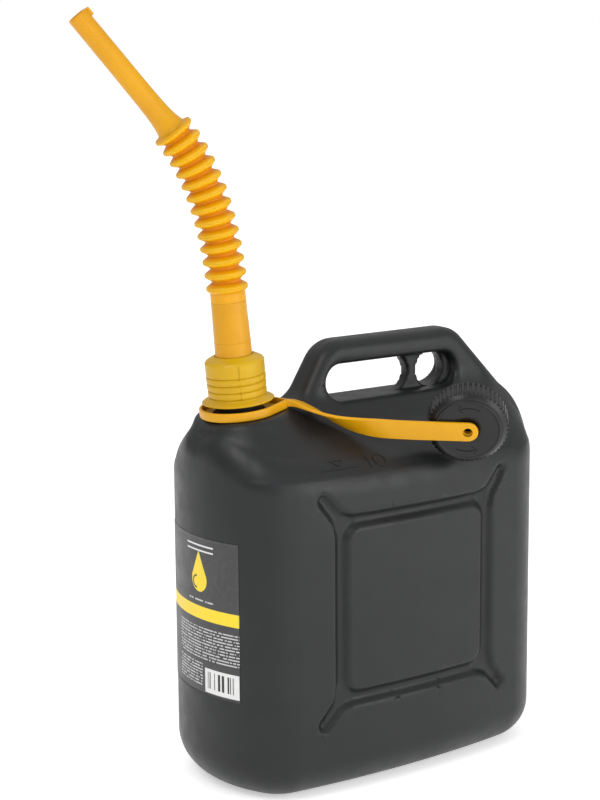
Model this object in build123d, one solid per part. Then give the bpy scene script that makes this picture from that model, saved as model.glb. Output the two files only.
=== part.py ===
"""Ten litre plastic jerry can with a screw-on flexible pouring spout and a tethered cap.

Frame: origin at the centre of the footprint on the floor, +Z up, +X along the length towards
the rear, so the neck and spout are at -X. Millimetres.
"""
import math
import os

from build123d import *

# ---- tank: plan section, walls and levels ----
LENGTH = 300.0
WIDTH = 160.0
SIDE_R = 830.0
END_R = 105.0
CORNER_R = 45.0
BOTTOM_R = 32.0
WALL = 2.5
CREASE_Z = 247.0
RIDGE_Z = 289.0
SHOULDER_Z = 285.5
HANDLE_TOP_Z = 337.0
HANDLE_HALF = 14.5

# ---- carrying handle: one long opening with a thin web that makes a finger hole ----
OPENING_X = (-38.0, 90.0)
OPENING_Z = (290.5, 318.5)
FINGER_X = 71.0
FINGER_R = 14.2
WEB_THICK = 10.0
WEB_NARROW = 8.0
HANDLE_EDGE_R = 5.0

# ---- side panels: a pressed channel round a raised field, with four diagonal legs ----
PANEL_HALF = 77.0
PANEL_Z = (69.0, 219.0)
FIELD_HALF = 64.0
FIELD_Z = (82.0, 207.0)
CHANNEL_DEPTH = 5.0
LEG_WIDTH = 14.0
LEG_TIP_X = 86.0
LEG_TIP_Z = (58.0, 231.0)

# ---- levels where the one-piece tank is divided into nodes that touch ----
TANK_CUTS = {"tank_base": (-5.0, 150.0), "tank_waist": (150.0, 262.0),
             "tank_shoulder": (262.0, 293.0), "tank_handle": (293.0, 345.0)}

# ---- neck ----
NECK_X = -109.5
NECK_Z = 288.5
NECK_TILT = 5.6
NECK_R = 18.0
NECK_BORE_R = 15.6
NECK_H = 35.0
THREAD_R = 19.2
THREAD_PITCH = 5.3
THREAD_TURNS = 3.0
THREAD_START = 14.0
TURRET_R = 36.5

# ---- tether: ring round the neck, strap, rivet ----
RING_R = 30.0
RING_H = 6.8
RING_APEX = 36.8
RING_APEX_R = 5.0
RING_WALL = 2.4
RING_BORE_R = 19.8
STRAP_WIDTH = 15.8
STRAP_THICK = 2.5
STUB_AZIMUTH = -30.6
STRAP_AZIMUTH = -40.0
STRAP_LENGTH = 132.0
STRAP_DROP = 18.5
RIVET_R = 4.2
RIVET_LENGTH = 4.2

# ---- cap ----
CAP_R = 31.0
CAP_DEPTH = 20.5
CAP_FACE_R = 24.8
CAP_RIBS = 48
CAP_DROOP = 19.0
PUSH_TRAVEL = 1.6

# ---- spout: seal, collar nut, base tube, folds, outlet ----
SEAL_THICK = 2.0
PIPE_FLANGE = 2.6
COLLAR_Z = (10.2, 46.0)
COLLAR_R = 22.0
COLLAR_FLANGE_R = 27.4
COLLAR_BORE_R = 19.6
COLLAR_TAPER = 0.5
COLLAR_GROOVES = 4
GROOVE_PITCH = 5.3
TUBE_R = 14.1
TUBE_TOP_R = 13.2
SPOUT_WALL = 1.5
SPOUT_SWIVEL = 24.0
FOLDS = 12
FOLD_PITCH = 10.23
FIRST_CREST = 96.8
CREST_R = 15.6
VALLEY_R = 10.8
FIRST_BEND = 0.94
LAST_BEND = 3.97
FOLD_GAP = 2.6
TIP_LENGTH = 107.0
TIP_LEAN = 2.0
TIP_FOOT_R = 10.7
OUTLET_R = 7.7
OUTLET_STRAIGHT = 26.0

# ---- label on the front end ----
LABEL_Y = (-42.5, 55.0)
LABEL_Z = (78.0, 200.0)
LABEL_THICK = 0.3

CLEAR = 0.3
RUNNING = 0.06

NECK = Pos(NECK_X, 0, NECK_Z) * Rot(0, -NECK_TILT, 0)


# ---------------------------------------------------------------- tank
def plan_outline(inset):
    """Horizontal section of the tank: shallow side arcs, tighter end arcs, round corners."""
    far = SIDE_R - WIDTH / 2
    sides = Pos(0, far) * Circle(SIDE_R - inset) & Pos(0, -far) * Circle(SIDE_R - inset)
    reach = LENGTH / 2 - END_R
    ends = Rectangle(2 * reach, 2 * (END_R - inset))
    ends += Pos(reach, 0) * Circle(END_R - inset)
    ends += Pos(-reach, 0) * Circle(END_R - inset)
    outline = sides & ends
    return fillet(outline.vertices(), CORNER_R - inset)


def body_column(inset, top):
    """The plan section drawn up from the rounded bottom edge."""
    column = Pos(0, 0, inset) * extrude(plan_outline(inset), amount=top - inset)
    return fillet(column.edges().group_by(Axis.Z)[0], BOTTOM_R - inset)


def side_profile(inset):
    """Side view: front shoulder, neck platform, handle and the long rear slope."""
    corners = [
        (-LENGTH / 2 - 0.01, -5, 0),
        (-LENGTH / 2 - 0.01, SHOULDER_Z, 27),
        (-64, RIDGE_Z, 12),
        (-35.5, HANDLE_TOP_Z, 26),
        (92, HANDLE_TOP_Z, 26),
        (LENGTH / 2 + 0.01, 276, 24),
        (LENGTH / 2 + 0.01, -5, 0),
    ]
    outline = make_face(Polyline([(x, z) for x, z, _ in corners], close=True))
    for x, z, radius in corners:
        if radius:
            nearest = outline.vertices().sort_by_distance((x, z, 0))[0]
            outline = fillet(nearest, radius)
    return offset(outline, amount=-inset) if inset else outline


def end_profile(inset):
    """End view: upright sides to the crease, hipped shoulders, slim upright handle."""
    half = WIDTH / 2 + 0.01
    right = [
        (half, -5, 0),
        (half, CREASE_Z, 14),
        (HANDLE_HALF + 2, RIDGE_Z, 14),
        (HANDLE_HALF, HANDLE_TOP_Z + 0.01, 0),
    ]
    corners = right + [(-y, z, radius) for y, z, radius in reversed(right)]
    outline = make_face(Polyline([(y, z) for y, z, _ in corners], close=True))
    for y, z, radius in corners:
        if radius:
            nearest = outline.vertices().sort_by_distance((y, z, 0))[0]
            outline = fillet(nearest, radius)
    return offset(outline, amount=-inset) if inset else outline


def along_y(face, half):
    """A drawing in (x, z) made into a prism across the tank, y from -half to half."""
    return extrude(Plane.XZ.offset(-half) * face, amount=2 * half)


def along_x(face, half):
    """A drawing in (y, z) made into a prism along the tank, x from -half to half."""
    return extrude(Plane.YZ.offset(-half) * face, amount=2 * half)


def opening_outline(grow):
    """The handle opening, a slot with round ends."""
    height = OPENING_Z[1] - OPENING_Z[0]
    width = OPENING_X[1] - OPENING_X[0]
    centre = Pos(sum(OPENING_X) / 2, sum(OPENING_Z) / 2)
    return centre * RectangleRounded(width + 2 * grow, height + 2 * grow, height / 2 + grow - 0.01)


def web_outline():
    """The hourglass web between the finger hole and the grip slot."""
    middle_z = sum(OPENING_Z) / 2
    slot_end = FINGER_X - FINGER_R - WEB_NARROW - FINGER_R
    plate = Pos(sum([slot_end, OPENING_X[1]]) / 2, middle_z) * Rectangle(
        OPENING_X[1] - slot_end + 2, OPENING_Z[1] - OPENING_Z[0] + 2)
    plate -= Pos(FINGER_X, middle_z) * Circle(FINGER_R)
    return plate - Pos(slot_end, middle_z) * Circle(FINGER_R)


def channel_outline(grow):
    """One side panel's channel seen from the side: a rounded frame with four diagonal legs."""
    middle_z = sum(PANEL_Z) / 2
    frame = Pos(0, middle_z) * RectangleRounded(
        2 * (PANEL_HALF + grow), PANEL_Z[1] - PANEL_Z[0] + 2 * grow, 13 + grow)
    for side in (-1, 1):
        for tip_z, corner_z in zip(LEG_TIP_Z, PANEL_Z):
            inward = LEG_WIDTH / 2
            corner = (side * (PANEL_HALF - inward), corner_z + math.copysign(inward, middle_z - corner_z))
            tip = (side * LEG_TIP_X, tip_z)
            run = math.dist(corner, tip)
            angle = math.degrees(math.atan2(tip[1] - corner[1], tip[0] - corner[0]))
            place = Pos((corner[0] + tip[0]) / 2, (corner[1] + tip[1]) / 2) * Rot(0, 0, angle)
            frame += place * SlotCenterToCenter(run, LEG_WIDTH + 2 * grow)
    field = Pos(0, sum(FIELD_Z) / 2) * RectangleRounded(
        2 * (FIELD_HALF - grow), FIELD_Z[1] - FIELD_Z[0] - 2 * grow, 10 - grow)
    return frame - field


def channels(grow):
    """Cutter for both side channels, its floor following the curved sides."""
    prism = along_y(channel_outline(grow), WIDTH)
    core = Pos(0, 0, -10) * extrude(plan_outline(CHANNEL_DEPTH + grow), amount=400)
    return prism - core


def handle_edges(form, inset):
    """Edges along the two sides of the handle, outside it and round its opening."""
    picked = []
    for edge in form.edges():
        middle = edge.center()
        if middle.Z > RIDGE_Z + 3 and abs(abs(middle.Y) - HANDLE_HALF + inset) < 3.5:
            picked.append(edge)
    return picked


def tank_form(inset):
    """The tank's outer form, or with inset its hollow inside."""
    form = body_column(inset, HANDLE_TOP_Z + 5)
    form &= along_y(side_profile(inset), WIDTH)
    form &= along_x(end_profile(inset), LENGTH)
    turret = NECK * Pos(0, 0, -inset) * extrude(
        Circle(TURRET_R - inset), amount=-36, taper=-20)
    core = Pos(0, 0, 200) * extrude(plan_outline(inset + 1), amount=200)
    form += turret & core
    form -= along_y(opening_outline(inset), WIDTH)
    form = fillet(handle_edges(form, inset), HANDLE_EDGE_R - inset)
    return form - channels(inset)


def neck_thread():
    """The raised thread round the neck, ended by the helix running out."""
    helix = Helix(THREAD_PITCH, THREAD_PITCH * THREAD_TURNS, NECK_R)
    start = helix @ 0
    tooth = Plane(origin=start, x_dir=(1, 0, 0), z_dir=helix % 0) * Polygon(
        (-0.6, -1.5), (THREAD_R - NECK_R, -0.5), (THREAD_R - NECK_R, 0.5), (-0.6, 1.5), align=None)
    return Pos(0, 0, THREAD_START) * sweep(tooth, path=helix, is_frenet=True)


def tank():
    """Blow-moulded shell: body, hollow handle with its web, and the open neck."""
    shell = tank_form(0) - tank_form(WALL)
    shell += along_y(web_outline() & opening_outline(0.5), WEB_THICK / 2)
    shell -= NECK * Pos(0, 0, -10) * Cylinder(NECK_BORE_R, 40, align=(Align.CENTER, Align.CENTER, Align.MIN))
    neck = Cylinder(NECK_R, NECK_H + 4, align=(Align.CENTER, Align.CENTER, Align.MIN))
    neck = fillet(neck.edges().group_by(Axis.Z)[-1], 0.8)
    neck += Pos(0, 0, 4) * neck_thread()
    neck -= Cylinder(NECK_BORE_R, NECK_H + 4, align=(Align.CENTER, Align.CENTER, Align.MIN))
    return shell + NECK * Pos(0, 0, -4) * neck


def tank_nodes():
    """The tank divided at plain levels, and its neck above the platform, each a simple shell."""
    whole = tank()
    zone = NECK * Pos(0, 0, 0.02) * Cylinder(
        THREAD_R + 2, 80, align=(Align.CENTER, Align.CENTER, Align.MIN))
    nodes = {"tank_neck": whole & zone}
    rest = whole - zone
    for name, (low, high) in TANK_CUTS.items():
        nodes[name] = rest & Pos(0, 0, (low + high) / 2) * Box(2 * LENGTH, 2 * WIDTH, high - low)
    return nodes


# ---------------------------------------------------------------- tether ring and strap
def ring_outline(inset):
    """Teardrop outline of the ring: a circle drawn out to a blunt point where the strap starts."""
    big = RING_R - inset
    small = RING_APEX_R - inset
    reach = RING_APEX - RING_APEX_R
    angle = math.acos((big - small) / reach)
    upper = [(big * math.cos(angle), big * math.sin(angle)),
             (reach + small * math.cos(angle), small * math.sin(angle))]
    lower = [(x, -y) for x, y in reversed(upper)]
    return Circle(big) + make_face(Polyline(upper + lower, close=True)) + Pos(reach, 0) * Circle(small)


def tether_ring():
    """Teardrop band round the neck with an inner web under the collar and a stub for the strap."""
    band = extrude(ring_outline(0), amount=RING_H) - extrude(ring_outline(RING_WALL), amount=RING_H)
    web = extrude(Circle(RING_R - RING_WALL / 2), amount=2.0)
    web -= extrude(Circle(RING_BORE_R), amount=2.0)
    stub = Pos(RING_APEX, 0, RING_H / 2) * Box(3.0, STRAP_WIDTH, STRAP_THICK)
    stub -= extrude(ring_outline(RING_WALL), amount=RING_H)
    ring = Rot(0, 0, STUB_AZIMUTH) * (band + stub) + web
    return NECK * Pos(0, 0, CLEAR) * ring


def strap_station(share):
    """Place of the strap's centre line and its twist, share running from 0 at the ring to 1."""
    azimuth = math.radians(STRAP_AZIMUTH)
    root = NECK * Rot(0, 0, STUB_AZIMUTH) * Pos(RING_APEX + 3.3, 0, CLEAR + RING_H / 2)
    reach = share * STRAP_LENGTH
    fall = STRAP_DROP * (1 - math.exp(-((reach / 33.0) ** 1.6))) + 0.022 * reach
    start = root.position
    spot = Vector(start.X + reach * math.cos(azimuth), start.Y + reach * math.sin(azimuth), start.Z - fall)
    steady = min(max((reach - 6) / 66, 0), 1)
    twist = (90 - CAP_DROOP) * steady * steady * (3 - 2 * steady)
    return spot, twist


def strap_section(share):
    """The strap's cross-section at one station, square to the route."""
    step = 0.004
    spot, twist = strap_station(share)
    before = strap_station(max(share - step, 0))[0]
    after = strap_station(min(share + step, 1))[0]
    plane = Plane(origin=spot, x_dir=Vector(0, 0, 1).cross(after - before), z_dir=after - before)
    return plane * Rot(0, 0, -twist) * RectangleRounded(STRAP_WIDTH, STRAP_THICK, 0.8)


def cap_frame():
    """Frame on the cap's face: +Z out of the face, origin on the rivet's axis."""
    spot, _ = strap_station(1)
    side = math.radians(STRAP_AZIMUTH)
    along = Vector(math.cos(side), math.sin(side), 0)
    level = Vector(math.sin(side), -math.cos(side), 0)
    droop = math.radians(CAP_DROOP)
    outward = level * math.cos(droop) + Vector(0, 0, -math.sin(droop))
    face = spot - outward * (STRAP_THICK / 2 + CLEAR)
    return Location(Plane(origin=face, x_dir=along, z_dir=outward))


def tether_strap():
    """Twisting strap with a round end and the hollow rivet that snaps through the cap."""
    stations = 13
    sections = [strap_section(i / (stations - 1) * 0.94) for i in range(stations)]
    strap = loft(sections, ruled=True)
    face = cap_frame()
    end = extrude(Circle(STRAP_WIDTH / 2), amount=STRAP_THICK)
    end += extrude(Pos(-7, 0) * Rectangle(14, STRAP_WIDTH), amount=STRAP_THICK)
    align = (Align.CENTER, Align.CENTER, Align.MIN)
    shank = Pos(0, 0, -RIVET_LENGTH) * Cylinder(RIVET_R, RIVET_LENGTH + 0.4, align=align)
    head = Pos(0, 0, -RIVET_LENGTH) * Cone(RIVET_R, RIVET_R + 0.9, 1.3, align=align)
    tab = Pos(0, 0, CLEAR) * end + shank + head
    tab -= Pos(0, 0, -5) * Cylinder(3.0, 12, align=(Align.CENTER, Align.CENTER, Align.MIN))
    return strap + face * tab


# ---------------------------------------------------------------- cap
def cap_outer():
    """Knurled outer shell with a raised disc and a slotted hole for the rivet."""
    profile = make_face(Polyline([
        (RIVET_R + RUNNING, 0), (CAP_FACE_R, 0), (CAP_FACE_R + 0.6, -1.6), (CAP_FACE_R + 1.6, -2.1),
        (CAP_R - 1.6, -5), (CAP_R - 1.2, -CAP_DEPTH), (CAP_R - 3.2, -CAP_DEPTH),
        (CAP_R - 3.2, -5.5), (CAP_FACE_R, -2.6), (RIVET_R + RUNNING, -2.6)], close=True))
    shell = revolve(Plane.XZ * profile, Axis.Z)
    knurl = Circle(CAP_R - 1.0) + PolarLocations(CAP_R - 1.6, CAP_RIBS) * Rectangle(3.2, 1.9)
    knurl -= Circle(CAP_R - 2.4)
    shell += Pos(0, 0, -CAP_DEPTH + 1) * extrude(knurl, amount=CAP_DEPTH - 6)
    slot = Pos(RIVET_R + 3.0, 0, -5) * Box(2.6, 1.6, 12)
    return shell - PolarLocations(0, 6) * slot


def cap_inner():
    """Closure that screws on the neck, with eight drive lugs that the outer shell presses on."""
    top = -RIVET_LENGTH - PUSH_TRAVEL - 0.4
    depth = CAP_DEPTH + top - 1
    skirt_r = COLLAR_BORE_R + 2.6
    cup = Pos(0, 0, top - 2) * Cylinder(skirt_r + 2, 2, align=(Align.CENTER, Align.CENTER, Align.MIN))
    skirt = Cylinder(skirt_r, depth - 1, align=(Align.CENTER, Align.CENTER, Align.MAX))
    skirt -= Cylinder(COLLAR_BORE_R, depth - 1, align=(Align.CENTER, Align.CENTER, Align.MAX))
    cup += Pos(0, 0, top - 1) * skirt
    cup += PolarLocations(18, 8) * (Pos(0, 0, top) * Box(5, 2.2, 1.6, align=(
        Align.CENTER, Align.CENTER, Align.CENTER)))
    return cup


def cap_gasket():
    """Flat washer held in the bottom of the inner closure."""
    top = -RIVET_LENGTH - PUSH_TRAVEL - 0.4 - 2
    align = (Align.CENTER, Align.CENTER, Align.MIN)
    disc = Pos(0, 0, top - 1.5) * Cylinder(COLLAR_BORE_R - 0.3, 1.5, align=align)
    return disc - Pos(0, 0, top - 2) * Cylinder(9, 3, align=align)


# ---------------------------------------------------------------- spout
def spout_seal():
    """Flat rubber washer on the neck's rim."""
    ring = extrude(Circle(NECK_R) - Circle(NECK_BORE_R - 2), amount=SEAL_THICK)
    return NECK * Pos(0, 0, NECK_H) * ring


def spout_collar():
    """Grooved nut that screws over the neck and clamps the pipe's flange."""
    low, high = COLLAR_Z
    roof = NECK_H + SEAL_THICK + PIPE_FLANGE + CLEAR
    outline = [
        (COLLAR_BORE_R, low), (COLLAR_FLANGE_R - 0.4, low), (COLLAR_FLANGE_R, low + 0.8),
        (COLLAR_R + 1.2, low + 3.2), (COLLAR_R - 0.2, low + 4.2), (COLLAR_R + COLLAR_TAPER, high - 5.4),
        (COLLAR_R - 0.4, high - 4.2), (TUBE_R + 2.2, high - 0.9), (TUBE_R + CLEAR, high),
        (TUBE_R + CLEAR, roof), (COLLAR_BORE_R, roof)]
    nut = revolve(Plane.XZ * make_face(Polyline(outline, close=True)), Axis.Z)
    first = low + 4.6
    for i in range(COLLAR_GROOVES):
        nut -= Pos(0, 0, first + i * GROOVE_PITCH) * Torus(COLLAR_R + 0.4, 0.6)
    return NECK * nut


def spout_frames():
    """Frames of the bends, each +Z along the spout there and +X to the outside of the bend."""
    bends = [FIRST_BEND + (LAST_BEND - FIRST_BEND) * i / FOLDS for i in range(FOLDS + 1)]
    place = NECK * Rot(0, 0, -SPOUT_SWIVEL) * Pos(0, 0, FIRST_CREST - FOLD_PITCH / 2)
    frames = []
    for bend in bends:
        place = place * Rot(0, -bend, 0)
        frames.append(place)
        place = place * Pos(0, 0, FOLD_PITCH)
    return frames


def spout_tube():
    """Lower tube with its clamping flange, running straight into the half wall of the first fold."""
    foot = NECK_H + SEAL_THICK
    top = FIRST_CREST - FOLD_PITCH / 2 - FOLD_GAP / 2
    flange = NECK_R + 0.8
    outer = [(flange, foot), (flange, foot + PIPE_FLANGE), (TUBE_R, foot + PIPE_FLANGE),
             (TUBE_TOP_R, top)]
    inner = [(TUBE_TOP_R - SPOUT_WALL, top), (TUBE_R - SPOUT_WALL, foot)]
    tube = revolve(Plane.XZ * make_face(Polyline(outer + inner, close=True)), Axis.Z)
    return NECK * Rot(0, 0, -SPOUT_SWIVEL) * tube


def fold(foot):
    """One fold of the bellows, valley to valley, with a rounded crest; foot is its lower radius."""
    low, middle, high = FOLD_GAP / 2, FOLD_PITCH / 2, FOLD_PITCH - FOLD_GAP / 2
    outer = [(foot, low), (CREST_R - 1, middle - 1.4), (CREST_R, middle - 0.7),
             (CREST_R, middle + 0.7), (CREST_R - 1, middle + 1.4), (VALLEY_R, high)]
    inner = [(VALLEY_R - SPOUT_WALL, high), (CREST_R - 2.6, middle), (foot - SPOUT_WALL, low)]
    return revolve(Plane.XZ * make_face(Polyline(outer + inner, close=True)), Axis.Z)


def tip_frame():
    """Frame at the outlet flange, leaning a little further than the flange itself."""
    return spout_frames()[-1] * Pos(0, 0, FOLD_PITCH / 2) * Rot(0, -TIP_LEAN, 0)


def spout_tip():
    """Rigid tapering outlet with a round flange at its foot."""
    low = FOLD_GAP / 2 - FOLD_PITCH / 2
    straight = TIP_LENGTH - OUTLET_STRAIGHT
    base = [(VALLEY_R, low), (CREST_R - 0.6, -1.6), (CREST_R, -0.8), (CREST_R, 0.8),
            (CREST_R - 0.6, 1.6), (TIP_FOOT_R, 2.2)]
    cup = [(TIP_FOOT_R - SPOUT_WALL, 2.2), (VALLEY_R - SPOUT_WALL, low)]
    foot = revolve(Plane.XZ * make_face(Polyline(base + cup, close=True)), Axis.Z)
    outer = [(TIP_FOOT_R + 0.6, 0), (TIP_FOOT_R, 3), (9.6, 8), (8.4, 22), (OUTLET_R, straight),
             (OUTLET_R, TIP_LENGTH)]
    inner = [(max(x - SPOUT_WALL, OUTLET_R - SPOUT_WALL), z) for x, z in reversed(outer)]
    pipe = revolve(Plane.XZ * make_face(Polyline(outer + inner, close=True)), Axis.Z)
    return foot + Rot(0, -TIP_LEAN, 0) * pipe


# ---------------------------------------------------------------- label
def end_label():
    """Thin printed sheet wrapped on the front end."""
    sheet = plan_outline(-LABEL_THICK - 0.02) - plan_outline(-0.02)
    height = LABEL_Z[1] - LABEL_Z[0]
    wrap = Pos(0, 0, LABEL_Z[0]) * extrude(sheet, amount=height)
    window = Pos(-LENGTH / 2, sum(LABEL_Y) / 2, sum(LABEL_Z) / 2) * Box(
        80, LABEL_Y[1] - LABEL_Y[0], height)
    return wrap & window


def main():
    """Build every sub-part and write it to its own STEP file."""
    frames = spout_frames()
    face = cap_frame()
    nodes = tank_nodes() | {
        "tether_ring": tether_ring(),
        "tether_strap": tether_strap(),
        "cap_outer": face * cap_outer(),
        "cap_inner": face * cap_inner(),
        "cap_gasket": face * cap_gasket(),
        "spout_seal": spout_seal(),
        "spout_collar": spout_collar(),
        "spout_tube": spout_tube(),
        "spout_tip": frames[-1] * Pos(0, 0, FOLD_PITCH / 2) * spout_tip(),
        "end_label": end_label(),
    }
    for i, frame in enumerate(frames[:-1]):
        nodes[f"bellows_fold_{i + 1:02d}"] = frame * fold(VALLEY_R if i else TUBE_TOP_R)
    os.makedirs("parts", exist_ok=True)
    for name, solid in nodes.items():
        export_step(solid, f"parts/{name}.step")
    return nodes


main()
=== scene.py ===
"""Visual model of the ten litre jerry can: tank, neck, tether, cap, grooved collar and spout.

Shapes are worked out in millimetres in the row frame and written to Blender in metres.
"""
import math

import bpy
import numpy as np
from mathutils import Matrix, Vector


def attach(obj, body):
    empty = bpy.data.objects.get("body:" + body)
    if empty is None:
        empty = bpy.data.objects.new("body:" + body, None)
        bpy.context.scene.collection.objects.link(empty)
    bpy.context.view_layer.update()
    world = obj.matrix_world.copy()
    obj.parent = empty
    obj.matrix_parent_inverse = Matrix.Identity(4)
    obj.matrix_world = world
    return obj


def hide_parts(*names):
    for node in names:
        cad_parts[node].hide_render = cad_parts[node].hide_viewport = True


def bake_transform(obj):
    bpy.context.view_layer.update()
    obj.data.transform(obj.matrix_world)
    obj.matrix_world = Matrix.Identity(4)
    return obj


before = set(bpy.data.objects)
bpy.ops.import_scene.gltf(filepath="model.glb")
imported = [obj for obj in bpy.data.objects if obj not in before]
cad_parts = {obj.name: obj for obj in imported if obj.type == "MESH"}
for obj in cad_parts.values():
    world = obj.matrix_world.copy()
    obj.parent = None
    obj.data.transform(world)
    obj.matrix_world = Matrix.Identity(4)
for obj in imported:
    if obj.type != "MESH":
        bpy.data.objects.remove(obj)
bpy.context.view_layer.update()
MM = 0.001

# ---- tank ----
LENGTH, WIDTH = 300.0, 160.0
SIDE_R, END_R, CORNER_R, BOTTOM_R = 830.0, 105.0, 45.0, 32.0
CREASE_Z, SHOULDER_Z, RIDGE_Z, HANDLE_TOP_Z = 247.0, 285.5, 289.0, 337.0
CREASE_R, DOME_R, HANDLE_R, REAR_R = 30.0, 27.0, 26.0, 24.0
HANDLE_HALF, HANDLE_EDGE_R, OPENING_EDGE_R, SADDLE_R = 14.5, 10.5, 5.0, 13.0
LEG_FOOT, LEG_TOP = (-64.0, 289.0), (-35.5, 337.0)
REAR_TOP, REAR_FOOT = (92.0, 337.0), (150.0, 276.0)
OPENING_X, OPENING_Z = (-38.0, 90.0), (290.5, 318.5)
FINGER_X, FINGER_R, WEB_HALF, WEB_NARROW = 71.0, 14.2, 5.0, 8.0
PANEL_HALF, PANEL_Z, PANEL_R = 77.0, (69.0, 219.0), 13.0
FIELD_HALF, FIELD_Z, FIELD_R = 64.0, (82.0, 207.0), 10.0
CHANNEL_DEPTH, CHANNEL_SOFT, LEG_R = 5.0, 6.5, 7.0
LEG_TIP_X, LEG_TIP_Z = 86.0, (58.0, 231.0)
WALL = 2.8


def slant(start, end):
    """Outward and upward parts of the normal of a face seen as a line."""
    run = (end[0] - start[0], end[1] - start[1])
    return -run[1] / math.hypot(*run), run[0] / math.hypot(*run)


HIP_OUT, HIP_UP = slant((HANDLE_HALF + 2, RIDGE_Z), (WIDTH / 2, CREASE_Z))
REAR_OUT, REAR_UP = slant(REAR_TOP, REAR_FOOT)
LEG_UP = slant(LEG_FOOT, LEG_TOP)[1]
SEAM_STEP = 0.45

# ---- neck, tether, cap, collar, spout: the same sizes as the CAD ----
NECK_X, NECK_Z, NECK_TILT = -109.5, 288.5, 5.6
NECK_R, NECK_BORE_R, NECK_H = 18.0, 15.6, 35.0
THREAD_CREST_R, THREAD_PITCH, THREAD_START, THREAD_TURNS = 19.2, 5.3, 14.0, 3.0
TURRET_R, TURRET_SLOPE = 36.5, 20.0
RING_R, RING_H, RING_WALL, RING_BORE_R = 30.0, 6.8, 2.4, 19.8
RING_APEX, RING_APEX_R = 36.8, 5.0
STRAP_WIDTH, STRAP_THICK, STRAP_LENGTH, STRAP_DROP = 15.8, 2.5, 132.0, 18.5
STUB_AZIMUTH, STRAP_AZIMUTH, RIVET_BORE_R, STRAP_DISH = -30.6, -40.0, 2.9, 0.45
CAP_R, CAP_DEPTH, CAP_FACE_R, CAP_RIBS, CAP_DROOP = 31.0, 20.5, 24.8, 48, 19.0
RIVET_HOLE_R, ARROW_R = 4.3, 18.5
COLLAR_Z, COLLAR_R, COLLAR_TAPER, COLLAR_FLANGE_R, COLLAR_BORE_R = (10.2, 46.0), 22.0, 0.5, 27.4, 19.6
COLLAR_GROOVES, GROOVE_PITCH = 4, 5.3
TUBE_R, TUBE_TOP_R, TUBE_SEAM_Z, SPOUT_WALL = 14.1, 13.2, 56.0, 1.5
SPOUT_SWIVEL, FOLDS, FOLD_PITCH, FIRST_CREST = 24.0, 12, 10.23, 96.8
CREST_R, VALLEY_R, FIRST_BEND, LAST_BEND = 15.6, 10.8, 0.94, 3.97
TIP_LENGTH, TIP_LEAN, OUTLET_R = 107.0, 2.0, 7.7
CLEAR = 0.3

# ---- stage ----
HORIZON_LIGHT, ZENITH_LIGHT, FLOOR_GLOW, FLOOR_SIZE = 0.35, 0.95, 0.45, 80.0

# ---- label ----
LABEL_Y, LABEL_Z, LABEL_PROUD = (-42.5, 55.0), (78.0, 200.0), 0.28

TANK_STEP = 2.2
LINING_STEP = 6.0


# ---------------------------------------------------------------- frames
def turn(axis, degrees):
    """Rotation as a 4x4 matrix."""
    return Matrix.Rotation(math.radians(degrees), 4, axis)


def shift(x, y, z):
    """Translation as a 4x4 matrix."""
    return Matrix.Translation((x, y, z))


NECK = shift(NECK_X, 0, NECK_Z) @ turn("Y", -NECK_TILT)


def spout_frames():
    """Frames of the spout's bends, +Z along the spout and +X to the outside of the bend."""
    place = NECK @ turn("Z", -SPOUT_SWIVEL) @ shift(0, 0, FIRST_CREST - FOLD_PITCH / 2)
    frames = []
    for i in range(FOLDS + 1):
        place = place @ turn("Y", -(FIRST_BEND + (LAST_BEND - FIRST_BEND) * i / FOLDS))
        frames.append(place)
        place = place @ shift(0, 0, FOLD_PITCH)
    return frames


def strap_station(share):
    """Place of the strap's centre line and its twist in degrees."""
    azimuth = math.radians(STRAP_AZIMUTH)
    start = NECK @ turn("Z", STUB_AZIMUTH) @ Vector((RING_APEX + 3.3, 0, CLEAR + RING_H / 2))
    reach = share * STRAP_LENGTH
    ahead = max(reach, 0)
    fall = STRAP_DROP * (1 - math.exp(-((ahead / 33.0) ** 1.6))) + 0.022 * reach
    spot = start + Vector((reach * math.cos(azimuth), reach * math.sin(azimuth), -fall))
    steady = min(max((reach - 6) / 66, 0), 1)
    return spot, (90 - CAP_DROOP) * steady * steady * (3 - 2 * steady)


def cap_frame():
    """Frame on the cap's face, +Z out of the face."""
    spot, _ = strap_station(1)
    side, droop = math.radians(STRAP_AZIMUTH), math.radians(CAP_DROOP)
    along = Vector((math.cos(side), math.sin(side), 0))
    level = Vector((math.sin(side), -math.cos(side), 0))
    outward = level * math.cos(droop) - Vector((0, 0, math.sin(droop)))
    face = spot - outward * (STRAP_THICK / 2 + CLEAR)
    basis = Matrix((along, outward.cross(along), outward)).transposed().to_4x4()
    return Matrix.Translation(face) @ basis


# ---------------------------------------------------------------- meshes
def new_object(name, points, faces, material, place=Matrix.Identity(4), smooth=True):
    """A mesh object from points in millimetres, placed by a matrix in millimetres."""
    mesh = bpy.data.meshes.new(name)
    flat = np.array(points, float).reshape(-1, 3)
    turned = flat @ np.array(place.to_3x3()).T + np.array(place.translation)
    mesh.from_pydata((turned * MM).tolist(), [], [list(map(int, f)) for f in faces])
    mesh.validate()
    mesh.update()
    for polygon in mesh.polygons:
        polygon.use_smooth = smooth
    mesh.materials.append(material)
    obj = bpy.data.objects.new(name, mesh)
    bpy.context.scene.collection.objects.link(obj)
    return obj


def grid_faces(rows, columns, wrap_rows=False, wrap_columns=True):
    """Quads of a grid of rows by columns of points."""
    faces = []
    for i in range(rows if wrap_rows else rows - 1):
        for j in range(columns if wrap_columns else columns - 1):
            right, down = (j + 1) % columns, (i + 1) % rows
            faces.append((i * columns + j, i * columns + right, down * columns + right, down * columns + j))
    return faces


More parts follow.
